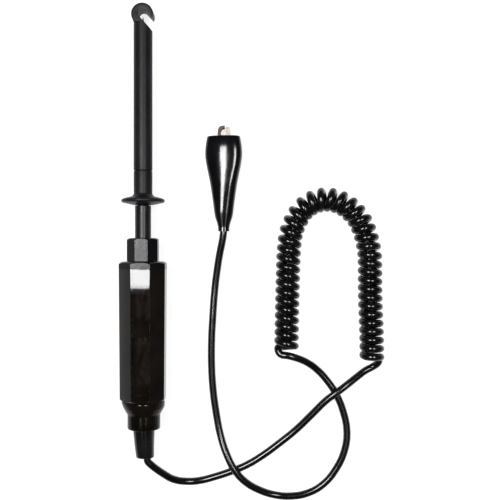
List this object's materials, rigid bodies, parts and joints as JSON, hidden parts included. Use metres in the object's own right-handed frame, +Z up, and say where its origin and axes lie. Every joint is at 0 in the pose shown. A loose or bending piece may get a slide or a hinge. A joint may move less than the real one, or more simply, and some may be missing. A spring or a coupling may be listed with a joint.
{
  "type": "hook-tip circuit test probe",
  "caption": "Hand probe with a sliding insulating hook sleeve over a needle, an octagonal lamp handle, and a part-coiled lead to a booted spring clip.",
  "frame": {"origin": "under the middle of the probe, on the surface that it lies on", "axes": "+Y along the probe towards its hook, +X across towards the clip and lead, +Z up"},
  "size_m": [0.1276, 0.2406, 0.022],
  "materials": {
    "smoked_plastic": "polished, dark smoked brown, slightly see-through",
    "grained_black": "moulded black with a fine grain",
    "matte_black": "satin charcoal black",
    "black_rubber": "soft black, satin",
    "black_vinyl": "soft, very glossy black",
    "cord_pvc": "glossy black flexible insulation",
    "wire_insulation": "red-brown insulation",
    "steel": "bright plated",
    "nickel": "nickel plated sheet",
    "brass": "bright",
    "lamp_glass": "clear",
    "holder_plastic": "dark moulded ring"
  },
  "bodies": {
    "handle": {"handle_shell": "smoked_plastic", "nose_cap": "grained_black", "shaft_collar": "grained_black", "guide_shaft": "matte_black", "shaft_end_nut": "steel", "needle_rod": "steel", "rod_terminal": "brass", "contact_spring": "brass", "lamp_base": "brass", "lamp_glass": "lamp_glass", "lamp_filament": "steel", "lamp_holder": "holder_plastic", "holder_contact": "brass", "inner_wire": "wire_insulation", "relief_washer": "brass", "end_cap": "smoked_plastic", "strain_relief": "black_rubber", "return_spring": "steel", "cord_probe_lead": "cord_pvc", "cord_coil": "cord_pvc", "cord_clip_lead": "cord_pvc", "clip_fixed_jaw": "nickel", "clip_pivot_pin": "steel", "clip_spring": "steel", "clip_crimp": "nickel", "clip_wire": "wire_insulation", "clip_boot": "black_vinyl"},
    "seat": {"seat_washer": "steel"},
    "sleeve": {"hook_sleeve": "matte_black", "finger_flange": "matte_black"},
    "clip_lever": {"clip_moving_jaw": "nickel"}
  },
  "joints": [
    {"name": "sleeve_slide", "type": "slide", "parent": "handle", "child": "seat", "axis": [0, 1, 0], "range_m": [0, 0.008], "stiffness_N_per_m": 300, "springref_m": -0.01, "deforming": ["return_spring"]},
    {"name": "sleeve_turn", "type": "hinge", "parent": "seat", "child": "sleeve", "pos_m": [0, 0.02, 0.011], "axis": [0, 1, 0], "continuous": true},
    {"name": "clip_open", "type": "hinge", "parent": "handle", "child": "clip_lever", "pos_m": [0.0386, 0.0406, 0.0055], "axis": [0, 0, -1], "range_deg": [0, 25], "stiffness_Nm_per_rad": 0.01, "springref_deg": -45.84, "deforming": ["clip_spring", "clip_boot"]}
  ]
}
